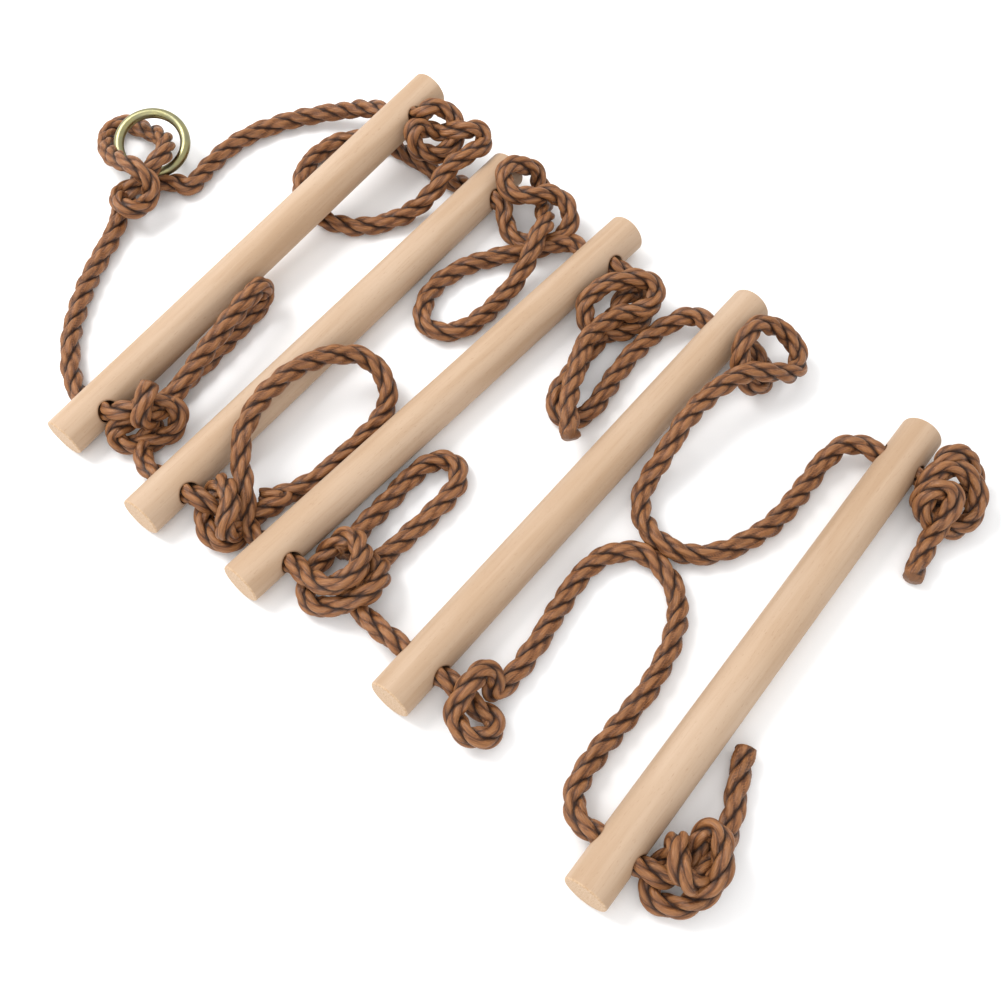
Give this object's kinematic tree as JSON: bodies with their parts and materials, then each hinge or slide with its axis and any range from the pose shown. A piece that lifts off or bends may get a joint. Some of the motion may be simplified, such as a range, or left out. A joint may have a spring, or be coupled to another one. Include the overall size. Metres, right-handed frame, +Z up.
{
  "type": "rope ladder",
  "caption": "Wooden rope ladder lying folded together: round wooden rungs threaded on two knotted three-strand ropes that meet in a knot on a steel ring.",
  "frame": {"origin": "middle of the footprint of the rungs and ring, on the floor that the ladder lies on", "axes": "+Z up from the floor, +Y from the lowest rung towards the ring, +X along the rungs"},
  "size_m": [0.4183, 0.713, 0.0544],
  "materials": {
    "beech": "smooth, lightly waxed beech with darker drilled edges",
    "rope": "brown three-strand polypropylene rope with a silky sheen",
    "zinc_steel": "yellow zinc-plated welded steel"
  },
  "bodies": {
    "top_knot": {"ring_knot": "rope", "bridle_left": "rope", "bridle_right": "rope"},
    "ring_eye": {"ring_eye": "rope"},
    "ring": {"top_ring": "zinc_steel"},
    "rope_stage_1": {"knot_1_left": "rope", "knot_1_right": "rope", "rope_through_1_left": "rope", "rope_through_1_right": "rope", "rope_1_2_left": "rope", "rope_1_2_right": "rope", "bight_1_left": "rope", "stub_1_left": "rope"},
    "rung_1": {"rung_1": "beech"},
    "rope_stage_2": {"knot_2_left": "rope", "knot_2_right": "rope", "rope_through_2_left": "rope", "rope_through_2_right": "rope", "rope_2_3_left": "rope", "rope_2_3_right": "rope"},
    "rung_2": {"rung_2": "beech"},
    "rope_stage_3": {"knot_3_left": "rope", "knot_3_right": "rope", "rope_through_3_left": "rope", "rope_through_3_right": "rope", "rope_3_4_left": "rope", "rope_3_4_right": "rope", "bight_3_left": "rope", "tail_3_right": "rope"},
    "rung_3": {"rung_3": "beech"},
    "rope_stage_4": {"knot_4_left": "rope", "knot_4_right": "rope", "rope_through_4_left": "rope", "rope_through_4_right": "rope", "rope_4_5_left": "rope", "rope_4_5_right": "rope"},
    "rung_4": {"rung_4": "beech"},
    "rope_stage_5": {"knot_5_left": "rope", "knot_5_right": "rope", "rope_through_5_left": "rope", "rope_through_5_right": "rope", "tail_5_left": "rope", "tail_5_right": "rope"},
    "rung_5": {"rung_5": "beech"}
  },
  "joints": [
    {"name": "ring_swing", "type": "hinge", "parent": "top_knot", "child": "ring_eye", "pos_m": [0.02026, 0.28545, 0.01297], "axis": [0.7361, -0.6769, 0], "range_deg": [-10, 90]},
    {"name": "ring_turn", "type": "hinge", "parent": "ring_eye", "child": "ring", "pos_m": [0.037, 0.30365, 0.021], "axis": [-0.2092, -0.2275, 0.9511], "continuous": true},
    {"name": "bridle_fold", "type": "hinge", "parent": "top_knot", "child": "rope_stage_1", "pos_m": [0, 0.188, 0.054], "axis": [-1, 0, 0], "range_deg": [0, 150], "deforming": ["bridle_left", "bridle_right"]},
    {"name": "fold_1_2", "type": "hinge", "parent": "rope_stage_1", "child": "rope_stage_2", "pos_m": [0, 0.094, 0], "axis": [1, 0, 0], "range_deg": [0, 150], "deforming": ["rope_1_2_left", "rope_1_2_right"]},
    {"name": "fold_2_3", "type": "hinge", "parent": "rope_stage_2", "child": "rope_stage_3", "pos_m": [0, 0.001, 0.036], "axis": [-1, 0, 0], "range_deg": [0, 150], "deforming": ["rope_2_3_left", "rope_2_3_right"]},
    {"name": "fold_3_4", "type": "hinge", "parent": "rope_stage_3", "child": "rope_stage_4", "pos_m": [0, -0.132, 0], "axis": [1, 0, 0], "range_deg": [0, 150], "deforming": ["rope_3_4_left", "rope_3_4_right"]},
    {"name": "fold_4_5", "type": "hinge", "parent": "rope_stage_4", "child": "rope_stage_5", "pos_m": [0, -0.282, 0.036], "axis": [-1, 0, 0], "range_deg": [0, 150], "deforming": ["rope_4_5_left", "rope_4_5_right"]},
    {"name": "rung_1_slide", "type": "slide", "parent": "rope_stage_1", "child": "rung_1", "axis": [0.001, 0.9274, -0.374], "range_m": [-0.002, 0.006]},
    {"name": "rung_2_slide", "type": "slide", "parent": "rope_stage_2", "child": "rung_2", "axis": [-0.0222, 0.9779, -0.2079], "range_m": [-0.002, 0.006]},
    {"name": "rung_3_slide", "type": "slide", "parent": "rope_stage_3", "child": "rung_3", "axis": [0.038, 0.9895, -0.1392], "range_m": [-0.002, 0.006]},
    {"name": "rung_4_slide", "type": "slide", "parent": "rope_stage_4", "child": "rung_4", "axis": [-0.0017, 1, 0], "range_m": [-0.002, 0.006]},
    {"name": "rung_5_slide", "type": "slide", "parent": "rope_stage_5", "child": "rung_5", "axis": [-0.0332, 0.9995, 0], "range_m": [-0.002, 0.006]}
  ]
}
